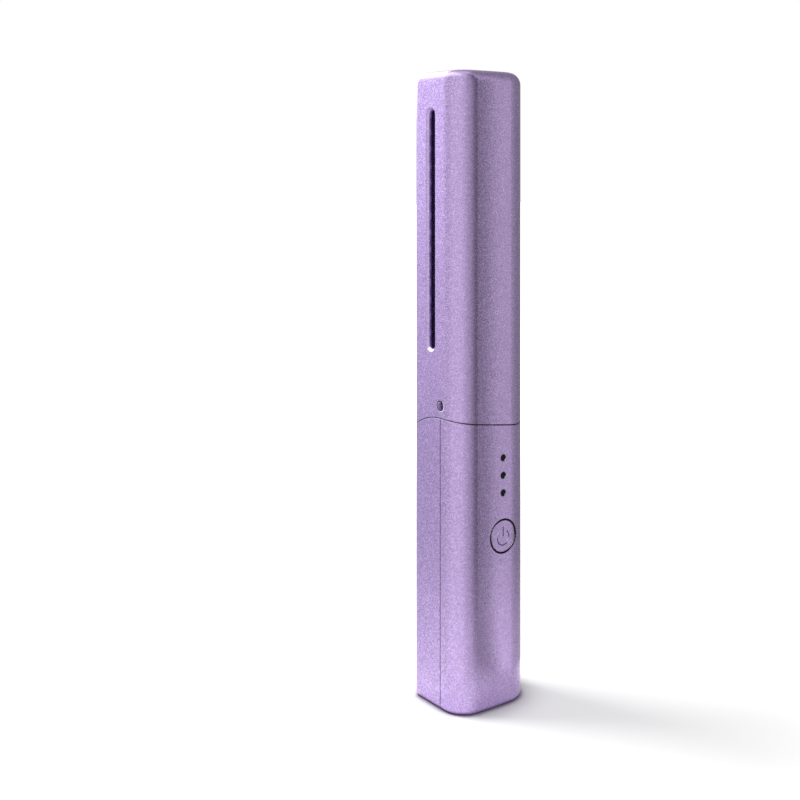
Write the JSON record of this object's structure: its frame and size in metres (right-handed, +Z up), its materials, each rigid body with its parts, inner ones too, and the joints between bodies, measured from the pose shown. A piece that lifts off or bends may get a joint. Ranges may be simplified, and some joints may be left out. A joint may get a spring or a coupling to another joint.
{
  "type": "cordless hot comb",
  "caption": "Slim cordless heated hair comb with guarded teeth, a pull-off cap, a power button and a charging inlet.",
  "frame": {"origin": "centre of the bounding box's underside, on the flat base", "axes": "+Z up along the comb from base to cap top, +X the tooth side, +Y the front with the button"},
  "size_m": [0.035, 0.0274, 0.23],
  "materials": {
    "lavender_paint": "satin metallic paint with fine flake",
    "black_heater": "black anodised, slightly glossy",
    "ceramic": "fired white ceramic",
    "insulation": "amber film",
    "sensor_bead": "dipped bead",
    "lead_sleeve": "white silicone sleeve",
    "dark_lens": "smoked translucent plastic",
    "board_green": "solder mask",
    "switch_black": "moulded",
    "led_white": "moulded",
    "screw_steel": "zinc plated",
    "cell_sleeve": "shrink sleeve over a metal can",
    "frame_white": "moulded",
    "nickel": "nickel strip",
    "inlet_steel": "stamped stainless shell"
  },
  "bodies": {
    "handle": {"front_shell": "lavender_paint", "back_shell": "lavender_paint", "comb_back_shell": "lavender_paint", "comb_front_shell": "lavender_paint", "heater_plate": "black_heater", "heating_element": "ceramic", "insulating_sheet": "insulation", "heat_sensor": "sensor_bead", "heater_leads": "lead_sleeve", "circuit_board": "board_green", "tact_switch": "switch_black", "indicator_leds": "led_white", "light_guide": "dark_lens", "board_screws": "screw_steel", "battery_cell": "cell_sleeve", "battery_frame": "frame_white", "battery_tabs": "nickel", "charging_inlet": "inlet_steel", "inlet_tongue": "switch_black"},
    "cap": {"cap_shell": "lavender_paint"},
    "button": {"power_button": "lavender_paint", "switch_plunger": "switch_black"}
  },
  "joints": [
    {"name": "cap_slide", "type": "slide", "parent": "handle", "child": "cap", "axis": [0, 0, 1], "range_m": [0, 0.132]},
    {"name": "button_press", "type": "slide", "parent": "handle", "child": "button", "axis": [0, -1, 0], "range_m": [0, 0.0007], "stiffness_N_per_m": 2500}
  ]
}
